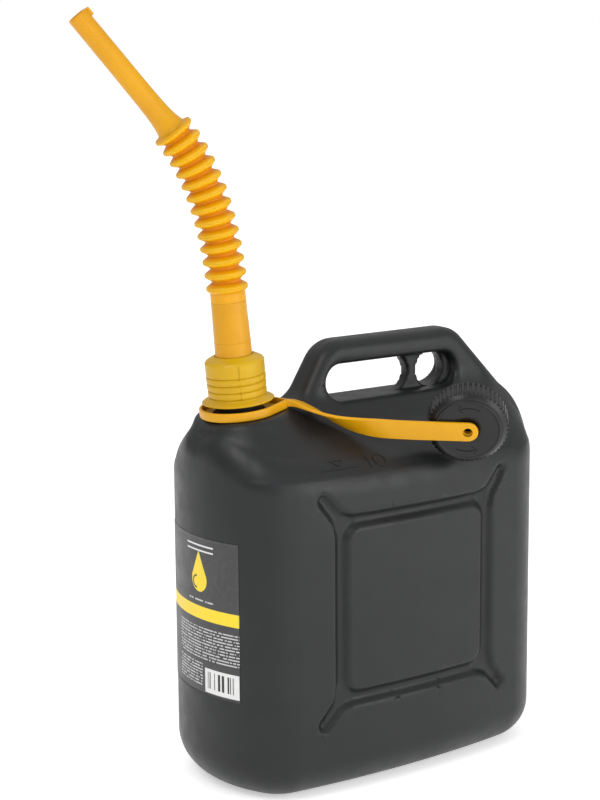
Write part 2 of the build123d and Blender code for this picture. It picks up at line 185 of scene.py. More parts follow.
def lathe(name, profile, material, place, segments=96, closed=True, shape=None):
    """A turned piece. profile lists (radius, z) with the outside drawn upwards; shape bends the points."""
    angles = np.linspace(0, 2 * math.pi, segments, endpoint=False)
    outline = np.array(profile, float)
    radius = outline[:, 0][:, None] * np.ones(segments)
    height = outline[:, 1][:, None] * np.ones(segments)
    if shape:
        radius, height = shape(radius, height, angles[None, :])
    points = np.stack([radius * np.cos(angles), radius * np.sin(angles), height], -1).reshape(-1, 3)
    return new_object(name, points, grid_faces(len(profile), segments, wrap_rows=closed), material, place)


def rounded(profile, radius, steps=4, closed=True):
    """The profile with its corners rounded by up to that radius."""
    out = []
    count = len(profile)
    for i, here in enumerate(profile):
        here = Vector(here)
        if not closed and i in (0, count - 1):
            out.append(tuple(here))
            continue
        before, after = Vector(profile[i - 1]), Vector(profile[(i + 1) % count])
        reach = min(radius, (before - here).length * 0.45, (after - here).length * 0.45)
        first = here + (before - here).normalized() * reach
        last = here + (after - here).normalized() * reach
        for k in range(steps + 1):
            t = k / steps
            out.append(tuple(first * (1 - t) ** 2 + here * 2 * t * (1 - t) + last * t * t))
    return out


def join(name, objects):
    """Several meshes made into one object that keeps their materials."""
    target = objects[0]
    with bpy.context.temp_override(active_object=target, selected_editable_objects=objects):
        bpy.ops.object.join()
    target.name = name
    return target


def cut(obj, cutter):
    """Takes the cutter's solid out of obj."""
    bpy.context.view_layer.update()
    step = obj.modifiers.new("cut", "BOOLEAN")
    step.operation = "DIFFERENCE"
    step.solver = "EXACT"
    step.object = cutter
    evaluated = obj.evaluated_get(bpy.context.evaluated_depsgraph_get())
    mesh = bpy.data.meshes.new_from_object(evaluated)
    obj.modifiers.clear()
    obj.data = mesh
    bpy.data.objects.remove(cutter)
    return obj


# ---------------------------------------------------------------- tank surface
def meet(a, b, r):
    """Intersection of two distance fields with its edge rounded by r."""
    return np.minimum(np.maximum(a, b), -r) + np.hypot(np.maximum(a + r, 0), np.maximum(b + r, 0))


def unite(a, b, r):
    """Union of two distance fields with a fillet of radius r."""
    return -meet(-a, -b, r)


def corner(a, b, r, cosine):
    """Intersection of two faces whose outward normals have that cosine, rounded by exactly r."""
    deep_a, deep_b = a + r, b + r
    in_corner = (deep_a > deep_b * cosine) & (deep_b > deep_a * cosine)
    square = (deep_a ** 2 + deep_b ** 2 - 2 * deep_a * deep_b * cosine) / (1 - cosine ** 2)
    return np.where(in_corner, np.sqrt(np.maximum(square, 0)) - r, np.maximum(a, b))


def smooth(t):
    """0 to 1 with soft ends."""
    t = np.clip(t, 0, 1)
    return t * t * (3 - 2 * t)


def half_plane(x, z, start, end):
    """Signed distance to the line from start to end, outside on its left."""
    run = (end[0] - start[0], end[1] - start[1])
    length = math.hypot(*run)
    return (-run[1] * (x - start[0]) + run[0] * (z - start[1])) / length


def round_box(x, z, half_x, low, high, r):
    """Signed distance to a rounded rectangle."""
    a = np.abs(x) - half_x + r
    b = np.abs(z - (low + high) / 2) - (high - low) / 2 + r
    return np.hypot(np.maximum(a, 0), np.maximum(b, 0)) + np.minimum(np.maximum(a, b), 0) - r


def channel_distance(x, z):
    """Signed distance to the pressed channel of one side, negative inside it."""
    frame_area = round_box(x, z, PANEL_HALF, *PANEL_Z, PANEL_R)
    middle = sum(PANEL_Z) / 2
    for tip_z, corner_z in zip(LEG_TIP_Z, PANEL_Z):
        a = np.array([PANEL_HALF - LEG_R, corner_z + math.copysign(LEG_R, middle - corner_z)])
        run = np.array([LEG_TIP_X, tip_z]) - a
        px, pz = np.abs(x) - a[0], z - a[1]
        t = np.clip((px * run[0] + pz * run[1]) / run.dot(run), 0, 1)
        leg = np.hypot(px - t * run[0], pz - t * run[1]) - LEG_R * (1 - 0.12 * t)
        frame_area = unite(frame_area, leg, 5.0)
    field = round_box(x, z, FIELD_HALF, *FIELD_Z, FIELD_R)
    return np.maximum(frame_area, -field)


def neck_space(x, y, z):
    """Distance from the neck's axis and height over its platform."""
    tilt = math.radians(NECK_TILT)
    dx, dz = x - NECK_X, z - NECK_Z
    along = -math.sin(tilt) * dx + math.cos(tilt) * dz
    across = math.cos(tilt) * dx + math.sin(tilt) * dz
    return np.hypot(across, y), along


def plan_corner():
    """Centre of the plan's corner arc and the directions of its two ends."""
    far, reach = SIDE_R - WIDTH / 2, LENGTH / 2 - END_R
    big, small = SIDE_R - CORNER_R, END_R - CORNER_R
    side_centre, end_centre = Vector((0, -far)), Vector((reach, 0))
    line_run = end_centre - side_centre
    apart = line_run.length
    along = (big ** 2 - small ** 2 + apart ** 2) / (2 * apart)
    off = math.sqrt(big ** 2 - along ** 2)
    unit = line_run / apart
    centre = side_centre + unit * along + Vector((-unit.y, unit.x)) * off
    if centre.x < reach:
        centre = side_centre + unit * along - Vector((-unit.y, unit.x)) * off
    return centre, (centre - side_centre).normalized(), (centre - end_centre).normalized()


PLAN_CORNER, CORNER_FROM, CORNER_TO = plan_corner()


def plan_field(x, y):
    """Signed distance to the plan outline, with its outward normal's x and y."""
    x, y = np.abs(x), np.abs(y)
    dx, dy = x - PLAN_CORNER.x, y - PLAN_CORNER.y
    far, reach = SIDE_R - WIDTH / 2, LENGTH / 2 - END_R
    past_side = CORNER_FROM.x * dy - CORNER_FROM.y * dx > 0
    past_end = CORNER_TO.x * dy - CORNER_TO.y * dx < 0
    inner = (dx * (CORNER_FROM.x + CORNER_TO.x) + dy * (CORNER_FROM.y + CORNER_TO.y)) < 0
    use_side = past_side & ~(inner & past_end & (y < x * 0.5))
    use_end = past_end & ~use_side
    cx = np.where(use_side, 0.0, np.where(use_end, reach, PLAN_CORNER.x))
    cy = np.where(use_side, -far, np.where(use_end, 0.0, PLAN_CORNER.y))
    radius = np.where(use_side, SIDE_R, np.where(use_end, END_R, CORNER_R))
    cx = np.where(use_end & (x < reach), x, cx)
    away = np.hypot(x - cx, y - cy)
    safe = np.maximum(away, 1e-6)
    return away - radius, (x - cx) / safe, (y - cy) / safe


def body_field(x, y, z):
    """Tank body without the handle."""
    plan, normal_x, normal_y = plan_field(x, y)
    hip = half_plane(np.abs(y), z, (HANDLE_HALF + 2, RIDGE_Z), (WIDTH / 2, CREASE_Z))
    front = half_plane(x, z, (-LENGTH / 2, SHOULDER_Z), LEG_FOOT)
    rear = half_plane(x, z, REAR_TOP, REAR_FOOT)
    top = corner(hip, front, DOME_R, HIP_UP)
    top = corner(top, rear, REAR_R, HIP_UP * REAR_UP)
    to_rear = smooth((rear - hip) / 24 + 0.5)
    lean = HIP_OUT * normal_y * (1 - to_rear) + REAR_OUT * normal_x * to_rear
    return meet(corner(plan, top, CREASE_R, lean), -z, BOTTOM_R)


def handle_field(x, y, z):
    """The handle's slab before its opening is cut."""
    side = corner(half_plane(x, z, LEG_FOOT, LEG_TOP), z - HANDLE_TOP_Z, HANDLE_R, LEG_UP)
    side = corner(side, half_plane(x, z, REAR_TOP, REAR_FOOT), HANDLE_R, REAR_UP)
    plan, normal_x, _ = plan_field(x, y)
    side = np.maximum(corner(side, plan, REAR_R, REAR_OUT * normal_x), 262 - z)
    draft = 2.0 * np.clip((HANDLE_TOP_Z - z) / (HANDLE_TOP_Z - RIDGE_Z), 0, 1.2)
    return meet(side, np.abs(y) - HANDLE_HALF - draft, HANDLE_EDGE_R)


def opening_field(x, z):
    """The handle's long opening."""
    half = (OPENING_Z[1] - OPENING_Z[0]) / 2
    reach = (OPENING_X[1] - OPENING_X[0]) / 2 - half
    return np.hypot(np.maximum(np.abs(x - sum(OPENING_X) / 2) - reach, 0), z - sum(OPENING_Z) / 2) - half


def web_field(x, y, z):
    """The thin hourglass web between the grip slot and the finger hole."""
    middle = sum(OPENING_Z) / 2
    slot_end = FINGER_X - 2 * FINGER_R - WEB_NARROW
    hole = np.hypot(x - FINGER_X, z - middle) - FINGER_R
    end = np.hypot(x - slot_end, z - middle) - FINGER_R
    plate = np.maximum(slot_end - x, x - OPENING_X[1] - 3)
    plate = np.maximum(plate, np.abs(z - middle) - (OPENING_Z[1] - OPENING_Z[0]) / 2 - 4)
    return meet(np.maximum(np.maximum(plate, -hole), -end), np.abs(y) - WEB_HALF, 0.6)


def solid_field(x, y, z):
    """The tank's outer form with its handle opening, without web and side channels."""
    form = unite(body_field(x, y, z), handle_field(x, y, z), SADDLE_R * smooth((138 - x) / 24) + 0.01)
    radius, height = neck_space(x, y, z)
    slope = math.radians(TURRET_SLOPE)
    cone = (radius - TURRET_R) * math.cos(slope) + height * math.sin(slope)
    turret = meet(np.maximum(cone, -height - 36), height, 3.0)
    plan = plan_field(x, y)[0]
    turret = meet(turret, plan, DOME_R)
    form = unite(form, turret, 12.0 * smooth(-plan / 22) + 0.01)
    form = np.maximum(form, np.minimum(height, TURRET_R - radius))
    return meet(form, -opening_field(x, z), OPENING_EDGE_R)


def channel_press(x, y, z):
    """How far the side channels are pressed in."""
    soft = smooth((1.2 - channel_distance(x, z)) / CHANNEL_SOFT)
    return CHANNEL_DEPTH * soft * smooth((np.abs(y) - 48) / 10)


def tank_field(x, y, z):
    """The tank's outer surface."""
    form = solid_field(x, y, z)
    form = form + channel_press(x, y, z) * smooth((CREASE_Z - z) / 6)
    form = form + SEAM_STEP * smooth((z - CREASE_Z) / 2.4) * smooth((np.abs(y) - 40) / 12)
    return unite(form, web_field(x, y, z), 1.0)


def lining_field(x, y, z):
    """The tank's inside, one wall thickness in from the outer form."""
    return solid_field(x, y, z) + WALL + channel_press(x, y, z)


def gradient(field, points, step=0.05):
    """Gradient of a field at points, by central differences."""
    out = np.empty_like(points)
    for k in range(3):
        ahead, behind = points.copy(), points.copy()
        ahead[:, k] += step
        behind[:, k] -= step
        out[:, k] = (field(*ahead.T) - field(*behind.T)) / (2 * step)
    return out


def settle(field, points, proud=0.0, rounds=5):
    """Moves points along the gradient to where the field equals proud."""
    for _ in range(rounds):
        slope = gradient(field, points)
        size = np.maximum((slope ** 2).sum(1), 0.2)
        push = (field(*points.T) - proud) / size
        points = points - slope * np.clip(push, -2.5, 2.5)[:, None]
    return points


def surface_net(field, low, high, step):
    """Quads and points of a field's zero surface."""
    axes = [np.arange(low[k], high[k] + step, step) for k in range(3)]
    inside = field(*np.meshgrid(*axes, indexing="ij")) < 0
    count = np.zeros([len(a) - 1 for a in axes], np.int8)
    for i in (0, 1):
        for j in (0, 1):
            for k in (0, 1):
                count += inside[i:i + count.shape[0], j:j + count.shape[1], k:k + count.shape[2]]
    active = (count > 0) & (count < 8)
    index = np.full(count.shape, -1, np.int64)
    index[active] = np.arange(active.sum())
    points = (np.argwhere(active) + 0.5) * step + np.array(low, float)
    quads = []
    for a in range(3):
        b, c = (a + 1) % 3, (a + 2) % 3
        here = np.moveaxis(inside, (a, b, c), (0, 1, 2))
        cells = np.moveaxis(index, (a, b, c), (0, 1, 2))
        change = here[:-1, 1:-1, 1:-1] != here[1:, 1:-1, 1:-1]
        i, j, k = np.nonzero(change)
        j, k = j + 1, k + 1
        ring = np.stack([cells[i, j - 1, k - 1], cells[i, j, k - 1], cells[i, j, k], cells[i, j - 1, k]], 1)
        outward = here[i, j, k]
        ring[~outward] = ring[~outward][:, ::-1]
        quads.append(ring)
    return settle(field, points), np.concatenate(quads)


def open_bore(points, quads, radius):
    """Takes out the faces inside the neck's bore and draws the edge to a circle."""
    across, along = neck_space(*points.T)
    near = (across < radius) & (np.abs(along) < 14)
    quads = quads[~near[quads].all(1)]
    tilt = math.radians(NECK_TILT)
    centre = np.stack([NECK_X - math.sin(tilt) * along, 0 * along, NECK_Z + math.cos(tilt) * along], 1)
    grow = (radius / np.maximum(across, 1))[:, None]
    points = np.where(near[:, None], centre + (points - centre) * grow, points)
    used = np.unique(quads)
    renumber = np.full(len(points), -1)
    renumber[used] = np.arange(len(used))
    return points[used], renumber[quads]


def tank_skin(material):
    """The tank: outer surface and, inside the bore, its lining."""
    low, high = (-154, -84, -4), (154, 84, 341)
    outer, outer_quads = open_bore(*surface_net(tank_field, low, high, TANK_STEP), NECK_R - 1.0)
    inner, inner_quads = open_bore(*surface_net(lining_field, low, high, LINING_STEP), NECK_BORE_R + 0.6)
    points = np.concatenate([outer, inner])
    faces = np.concatenate([outer_quads, inner_quads[:, ::-1] + len(outer)])
    return new_object("tank_skin", points, faces, material)


def on_tank(points, proud):
    """Points drawn to the tank's outer surface, standing proud of it."""
    return settle(tank_field, np.array(points, float), proud)


# ---------------------------------------------------------------- raised marks
def mark_stroke(name, path, width, height, material):
    """A raised moulded line on the near shoulder; path gives x and height z on the tank's side."""
    centre = [Vector(p) for p in path]
    spots, rows = [], len(centre)
    for i in range(rows):
        ahead, behind = centre[min(i + 1, len(centre) - 1)], centre[max(i - 1, 0)]
        along = (ahead - behind).normalized()
        across = Vector((-along[1], along[0]))
        for share in (-0.5, -0.32, 0.32, 0.5):
            spots.append(centre[i] + across * width * share)
    base = np.array([(x, -WIDTH / 2 + 0.5 * (z - CREASE_Z), z) for x, z in spots])
    raised = on_tank(base, height)
    sunk = on_tank(base, -0.25)
    lift = np.tile([False, True, True, False], rows)
    points = np.where(lift[:, None], raised, sunk)
    faces = grid_faces(rows, 4, wrap_columns=False)
    faces += [(0, 1, 2, 3), tuple(reversed(range(4 * rows - 4, 4 * rows)))]
    return new_object(name, points, [f[::-1] for f in faces], material, smooth=False)


def arc(cx, cz, rx, rz, first, last, steps=16):
    """Points of an elliptical arc, angles in degrees."""
    angles = np.radians(np.linspace(first, last, steps))
    return [(cx + rx * math.cos(a), cz + rz * math.sin(a)) for a in angles]


def line(start, end, steps=6):
    """Points of a straight line."""
    return [tuple(Vector(start).lerp(Vector(end), k / steps)) for k in range(steps + 1)]


def on_circle(radius, degrees):
    """The point of a circle at that angle."""
    return radius * math.cos(math.radians(degrees)), radius * math.sin(math.radians(degrees))


def capacity_mark(material):
    """A plain fill mark: a level line, a pointer and the number of litres."""
    strokes = [
        line((-84, 257), (-50, 257), 12),
        line((-73, 266.5), (-67, 260)), line((-67, 260), (-61, 266.5)), line((-61, 266.5), (-73, 266.5)),
        line((-43, 264), (-39.5, 267)), line((-39.5, 267), (-39.5, 254)),
        arc(-29.5, 260.5, 5.0, 6.5, 90, 450, 28),
    ]
    pieces = [mark_stroke(f"mark_{i}", path, 1.5, 0.55, material) for i, path in enumerate(strokes)]
    return join("capacity_mark", pieces)


# ---------------------------------------------------------------- neck
def neck(material):
    """The threaded neck, open through the tank's top."""
    low, top = -4.5, NECK_H
    outside = [(NECK_R + 0.9, -0.4), (NECK_R + 0.3, 0.3), (NECK_R, 1.0)]
    steps = 90
    outside += [(NECK_R, 1.0 + (top - 1.8) * k / steps) for k in range(1, steps + 1)]
    outside += [(NECK_R - 0.3, top - 0.25), (NECK_R - 0.8, top)]
    inside = [(NECK_BORE_R + 0.5, top), (NECK_BORE_R, top - 0.5), (NECK_BORE_R, low), (NECK_R - 0.8, low)]

    def thread(radius, height, angle):
        turns = (height - THREAD_START) / THREAD_PITCH - angle / (2 * math.pi)
        tooth = smooth(1.45 - 2.9 * np.abs(turns - np.round(turns)) * 1.5)
        ends = smooth((turns + 0.15) * 4) * smooth((THREAD_TURNS - turns) * 4)
        outer = radius > NECK_R - 0.01
        return radius + outer * (height > 8) * (THREAD_CREST_R - NECK_R) * tooth * ends, height

    return lathe("neck", outside + inside, material, NECK, 120, shape=thread)


# ---------------------------------------------------------------- tether
def teardrop(inset, count=200):
    """Points and outward directions round the ring's teardrop outline."""
    big, small = RING_R - inset, RING_APEX_R - inset
    reach = RING_APEX - RING_APEX_R
    angle = math.acos((big - small) / reach)
    out = []
    around = int(count * 0.72)
    for k in range(around + 1):
        a = angle + (2 * math.pi - 2 * angle) * k / around
        out.append((big * math.cos(a), big * math.sin(a), math.cos(a), math.sin(a)))
    start, end = Vector(out[-1][:2]), Vector((reach + small * math.cos(-angle), small * math.sin(-angle)))
    for k in range(1, 12):
        p = start.lerp(end, k / 12)
        out.append((p.x, p.y, math.cos(-angle), math.sin(-angle)))
    for k in range(17):
        a = -angle + 2 * angle * k / 16
        out.append((reach + small * math.cos(a), small * math.sin(a), math.cos(a), math.sin(a)))
    start, end = Vector(out[-1][:2]), Vector(out[0][:2])
    for k in range(1, 12):
        p = start.lerp(end, k / 12)
        out.append((p.x, p.y, math.cos(angle), math.sin(angle)))
    return out


def section(width, height, corner, steps=3):
    """A rounded rectangle about the origin, as (across, up) points."""
    out = []
    for cx, cz, first in ((1, 1, 0), (-1, 1, 90), (-1, -1, 180), (1, -1, 270)):
        for k in range(steps + 1):
            a = math.radians(first + 90 * k / steps)
            out.append((cx * (width / 2 - corner) + corner * math.cos(a),
                        cz * (height / 2 - corner) + corner * math.sin(a)))
    return out


def tether_ring(material):
    """Teardrop band and the inner web that lies under the collar."""
    shape = section(RING_WALL, RING_H, 0.9)
    route = teardrop(RING_WALL / 2)
    points = [(x + nx * across, y + ny * across, RING_H / 2 + up)
              for x, y, nx, ny in route for across, up in shape]
    place = NECK @ shift(0, 0, CLEAR) @ turn("Z", STUB_AZIMUTH)
    faces = [f[::-1] for f in grid_faces(len(route), len(shape), wrap_rows=True)]
    band = new_object("band", points, faces, material, place)
    web = [(RING_BORE_R, 0), (RING_R - RING_WALL / 2, 0), (RING_R - RING_WALL / 2, 2.0), (RING_BORE_R, 2.0)]
    inner = lathe("web", rounded(web, 0.5), material, place, 120)
    return join("tether_ring_loop", [band, inner])


def tether_strap(material):
    """Twisting strap, wider than its root, with a rounded end and a hollow rivet hole."""
    end_reach = STRAP_LENGTH + STRAP_WIDTH / 2
    stations = 120
    points = []
    for i in range(stations + 1):
        reach = -5.5 + (end_reach - 0.02 + 5.5) * (1 - (1 - i / stations) ** 1.25)
        share = reach / STRAP_LENGTH
        spot, twist = strap_station(share)
        before, after = strap_station(share - 0.004)[0], strap_station(share + 0.004)[0]
        along = (after - before).normalized()
        across = Vector((0, 0, 1)).cross(along).normalized()
        up = along.cross(across)
        beyond = max(reach - STRAP_LENGTH, 0)
        half = math.sqrt(max((STRAP_WIDTH / 2) ** 2 - beyond ** 2, 0.0004))
        root = smooth((reach + 3.5) / 16.0)
        width = 2 * half * (0.42 + 0.58 * root)
        thick = STRAP_THICK + 2.6 * (1 - root)
        corner = min(0.8, width * 0.3, thick * 0.45)
        angle = math.radians(-twist)
        for a, b in section(width, thick, corner):
            if abs(b) > 0.2 * thick:
                b -= math.copysign(STRAP_DISH * smooth(1.0 - abs(a) / (width / 2) * 1.35), b)
            u, v = a * math.cos(angle) - b * math.sin(angle), a * math.sin(angle) + b * math.cos(angle)
            points.append(spot + across * u + up * v)
    size = len(section(1, 1, 0.1))
    faces = grid_faces(stations + 1, size)
    faces += [tuple(reversed(range(size))), tuple(range(stations * size, len(points)))]
    strap = new_object("strap", [tuple(p) for p in points], [f[::-1] for f in faces], material)
    face = cap_frame()
    hole = lathe("hole", [(0.01, -9), (RIVET_BORE_R, -9), (RIVET_BORE_R, STRAP_THICK - 0.5),
                          (RIVET_BORE_R + 1.6, STRAP_THICK + 1.2), (0.01, STRAP_THICK + 1.2)],
                 material, face, 48, closed=False)
    strap = cut(strap, hole)
    rivet = [(RIVET_BORE_R, -4.2), (RIVET_HOLE_R + 0.8, -4.2), (RIVET_HOLE_R + 0.8, -3.6),
             (RIVET_HOLE_R - 0.1, -3.0), (RIVET_HOLE_R - 0.1, 0.9), (RIVET_BORE_R, 0.9)]
    shank = lathe("shank", rounded(rivet, 0.3), material, face, 48)
    return join("tether_strap_band", [strap, shank])


# ---------------------------------------------------------------- cap
def cap_outer(material):
    """Knurled shell with a sloping shoulder and a raised disc."""
    side, low = CAP_R - 1.7, -CAP_DEPTH
    profile = [
        (RIVET_HOLE_R, -2.6), (CAP_FACE_R - 1, -2.6), (CAP_R - 3.4, -6.0), (CAP_R - 3.2, low),
        (CAP_R - 0.6, low), (CAP_R - 0.4, low + 1.2)]
    profile = rounded(profile, 0.6, 3, closed=False)
    profile += [(CAP_R - 0.4 - 0.001 * k, low + 1.2 + (CAP_DEPTH - 7.2) * k / 12) for k in range(1, 13)]
    profile += rounded([
        (CAP_R - 0.6, -5.8), (side - 0.4, -4.4), (CAP_FACE_R + 1.7, -1.9), (CAP_FACE_R + 0.7, -1.7),
        (CAP_FACE_R + 0.5, -0.5), (CAP_FACE_R - 0.1, 0), (CAP_FACE_R - 1.3, 0), (CAP_FACE_R - 1.7, -0.4),
        (CAP_FACE_R - 4, -0.4), (14, -0.4), (RIVET_HOLE_R, -0.4)], 0.35, 3, closed=False)

    def knurl(radius, height, angle):
        wave = np.cos(angle * CAP_RIBS)
        tooth = smooth(0.5 + wave * 1.6)
        band = smooth((radius - (CAP_R - 2.2)) / 1.0) * smooth((-4.6 - height) / 0.8)
        band = band * smooth((height + CAP_DEPTH - 0.3) / 1.0)
        return radius - 1.5 * band * (1 - tooth), height

    shell = lathe("cap_shell_skin", profile, material, cap_frame(), CAP_RIBS * 10, shape=knurl)
    marks = []
    for turn_by in (0, 180):
        head = on_circle(ARROW_R, 112 + turn_by)
        for path in (arc(0, 0, ARROW_R, ARROW_R, 62 + turn_by, 112 + turn_by, 18),
                     line(head, on_circle(ARROW_R - 3.5, 104 + turn_by)),
                     line(head, on_circle(ARROW_R + 3.1, 105 + turn_by))):
            marks.append(flat_stroke(path, 1.2, -0.7, 0.15, material, cap_frame()))
    return join("cap_shell_skin", [shell] + marks)


def flat_stroke(path, width, low, high, material, place):
    """A raised line on a flat face, from height low to high."""
    centre = [Vector(p) for p in path]
    points = []
    for i, spot in enumerate(centre):
        along = (centre[min(i + 1, len(centre) - 1)] - centre[max(i - 1, 0)]).normalized()
        across = Vector((-along[1], along[0])) * width / 2
        points += [(*(spot - across), low), (*(spot - across * 0.75), high),
                   (*(spot + across * 0.75), high), (*(spot + across), low)]
    rows = len(centre)
    faces = [f[::-1] for f in grid_faces(rows, 4)]
    faces += [(0, 1, 2, 3), tuple(reversed(range(4 * rows - 4, 4 * rows)))]
    return new_object("stroke", points, faces, material, place, smooth=False)


# ---------------------------------------------------------------- spout
def collar(material):
    """Grooved nut with a conical skirt, a plain top band and a domed top."""
    low, high = COLLAR_Z
    top_band = high - 5.4
    first = low + 4.6
    body = []
    height = low + 3.8
    while height < top_band:
        share = (height - low) / (top_band - low)
        radius = COLLAR_R - 0.3 + (COLLAR_TAPER + 0.3) * share
        for i in range(COLLAR_GROOVES):
            gap = abs(height - first - i * GROOVE_PITCH)
            radius -= 0.85 * math.exp(-((gap / 0.42) ** 2))
            inside = GROOVE_PITCH / 2
            middle = height - first - (i - 0.5) * GROOVE_PITCH
            if abs(middle) < inside:
                radius += 0.35 * (1 - (middle / inside) ** 2)
        body.append((radius, height))
        height += 0.22
    outside = rounded([(COLLAR_BORE_R, low), (COLLAR_FLANGE_R - 0.5, low), (COLLAR_FLANGE_R, low + 0.9),
                       (COLLAR_R + 1.6, low + 3.0), (COLLAR_R - 0.1, low + 3.6)], 0.4, 4, closed=False)
    crown = rounded([body[-1], (COLLAR_R + COLLAR_TAPER, top_band + 0.2), (COLLAR_R - 0.5, high - 3.6),
                     (TUBE_R + 2.0, high - 0.7), (TUBE_R + 0.35, high - 0.1), (TUBE_R + 0.35, high - 2.5)],
                    1.3, 5, closed=False)
    roof = NECK_H + 2.0 + 2.6 + CLEAR
    under = [(TUBE_R + 0.35, roof), (COLLAR_BORE_R, roof), (COLLAR_BORE_R, low + 6)]
    nut = lathe("collar", outside + body + crown + under, material, NECK, 128)
    strip = []
    for x, z in ((COLLAR_R + 0.15, low + 4.2), (COLLAR_R + 0.78, top_band - 0.2)):
        strip += [(x, -0.22, z), (x + 0.22, 0, z), (x, 0.22, z), (x - 0.6, 0, z)]
    faces = [f[::-1] for f in grid_faces(2, 4)] + [(0, 1, 2, 3), (7, 6, 5, 4)]
    lines = [new_object("seam", strip, faces, material, NECK @ turn("Z", a)) for a in (-116, 64)]
    return join("collar_nut", [nut] + lines)


def tube(material):
    """The spout's lower tube with its clamping flange and a fine seam."""
    foot = NECK_H + 2.0
    top = FIRST_CREST - FOLD_PITCH
    taper = (TUBE_R - TUBE_TOP_R) / (top - foot)
    outside = []
    steps = 60
    for k in range(steps + 1):
        z = foot + 3 + (top - foot - 3) * k / steps
        outside.append((TUBE_R - taper * (z - foot) - 0.02, z))
    seam = [(TUBE_R - taper * (TUBE_SEAM_Z - foot) + d, TUBE_SEAM_Z + h)
            for d, h in ((0.10, -0.5), (0.16, -0.2), (-0.2, 0.0), (-0.12, 0.3))]
    outside = [p for p in outside if abs(p[1] - TUBE_SEAM_Z) > 0.7]
    outside = sorted(outside + seam, key=lambda p: p[1])
    flange = [(NECK_R + 0.8, foot), (NECK_R + 0.8, foot + 2.6), (TUBE_R, foot + 2.6)]
    inside = [(TUBE_TOP_R - SPOUT_WALL, top), (TUBE_R - SPOUT_WALL, foot)]
    place = NECK @ turn("Z", -SPOUT_SWIVEL)
    return lathe("spout_tube_skin", flange + outside + inside, material, place, 112)


def fold_wall(u, foot):
    """Outer radius at u from -1 at the lower crest over 0 in the valley to 1 at the upper crest.

    The foot has no lower crest: it runs straight on from the tube.
    """
    if foot:
        return TUBE_TOP_R + (CREST_R - TUBE_TOP_R) * smooth_cosine(min(max(u - 0.25, 0) / 0.62, 1))
    return VALLEY_R + (CREST_R - VALLEY_R) * smooth_cosine(min(abs(u) / 0.9, 1))


def smooth_cosine(u):
    """0 to 1 along half a cosine."""
    return (1 - math.cos(math.pi * u)) / 2


def bellows_wall(index, frames, material):
    """The flexible wall across one bend, from the crest below it to the crest above it."""
    here = frames[index]
    bend = FIRST_BEND + (LAST_BEND - FIRST_BEND) * index / FOLDS
    back = here @ turn("Y", bend)
    low = back @ Vector((0, 0, -FOLD_PITCH / 2))
    middle = here.translation
    high = here @ Vector((0, 0, FOLD_PITCH / 2))
    rows, segments = 41, 72
    angles = np.linspace(0, 2 * math.pi, segments, endpoint=False)
    points, depth = [], []
    for wall in (0, 1):
        order = range(rows) if wall == 0 else reversed(range(rows))
        for i in order:
            t = i / (rows - 1)
            u = 2 * t - 1
            centre = low * (1 - t) ** 2 + middle * 2 * t * (1 - t) + high * t * t
            basis = (back @ turn("Y", -bend * t)).to_3x3()
            radius = fold_wall(u, index == 0)
            # painted shade: the fold's depth, kept per point so that the material darkens the valleys
            shade = (CREST_R - radius) / (CREST_R - VALLEY_R) if index or u > 0.2 else 0.35
            if abs(u) > 0.965 and (u > 0 or index):
                radius -= 0.16 * (abs(u) - 0.965) / 0.035
            radius -= wall * SPOUT_WALL
            for a in angles:
                points.append(centre + basis @ Vector((radius * math.cos(a), radius * math.sin(a), 0)))
                depth.append(shade)
    obj = new_object(f"bellows_{index + 1:02d}", [tuple(p) for p in points],
                     grid_faces(2 * rows, segments, wrap_rows=True), material)
    layer = obj.data.attributes.new("painted_fold_shade", "FLOAT", "POINT")
    layer.data.foreach_set("value", np.array(depth, np.float32))
    return obj, low * MM, high * MM


def tip(place, material):
    """Rigid outlet: flange, flared foot, long slow taper, and a small lug at its end."""
    bore = OUTLET_R - SPOUT_WALL
    flange = rounded([(CREST_R - 0.16, 0), (CREST_R, 0.3), (CREST_R - 0.3, 1.5), (11.6, 2.4), (10.9, 3.4)],
                     0.5, 4, closed=False)
    flare = [(8.25 + 2.6 * math.exp(-(z - 3.4) / 8.0) - 0.55 * z / TIP_LENGTH, z)
             for z in np.linspace(3.8, TIP_LENGTH - 0.8, 60)]
    end = [(OUTLET_R - 0.15, TIP_LENGTH - 0.3), (OUTLET_R - 0.6, TIP_LENGTH), (bore + 0.3, TIP_LENGTH),
           (bore, TIP_LENGTH - 0.4)]
    inside = [(bore, 30), (9.0, 5), (CREST_R - SPOUT_WALL - 0.2, 0)]
    pipe = lathe("tip", flange + flare + end + inside, material, place, 96)
    lean = place @ turn("Y", -TIP_LEAN)
    matrix = np.array(((place.inverted() @ lean).to_3x3()))
    world = np.array([v.co for v in pipe.data.vertices]) / MM
    local = (world - np.array(place.translation)) @ np.array(place.to_3x3())
    share = smooth(local[:, 2] / 12)[:, None]
    leaned = local * (1 - share) + (local @ matrix.T) * share
    world = leaned @ np.array(place.to_3x3()).T + np.array(place.translation)
    pipe.data.vertices.foreach_set("co", (world * MM).ravel())
    tab = rounded([(-1.8, -1.0), (1.8, -1.0), (1.8, 1.9), (-1.8, 1.9)], 0.7, 4)
    rows = ((-7, 0.6), (-6.4, 1.0), (-1.2, 1.0), (-0.4, 0.75))
    points = [(OUTLET_R + y * s + 0.2, x * s, TIP_LENGTH + z) for z, s in rows for x, y in tab]
    size = len(tab)
    faces = grid_faces(len(rows), size)
    faces += [tuple(reversed(range(size))), tuple(range((len(rows) - 1) * size, len(rows) * size))]
    lug = new_object("lug", points, [f[::-1] for f in faces], material, lean)
    return join("spout_outlet_skin", [pipe, lug])


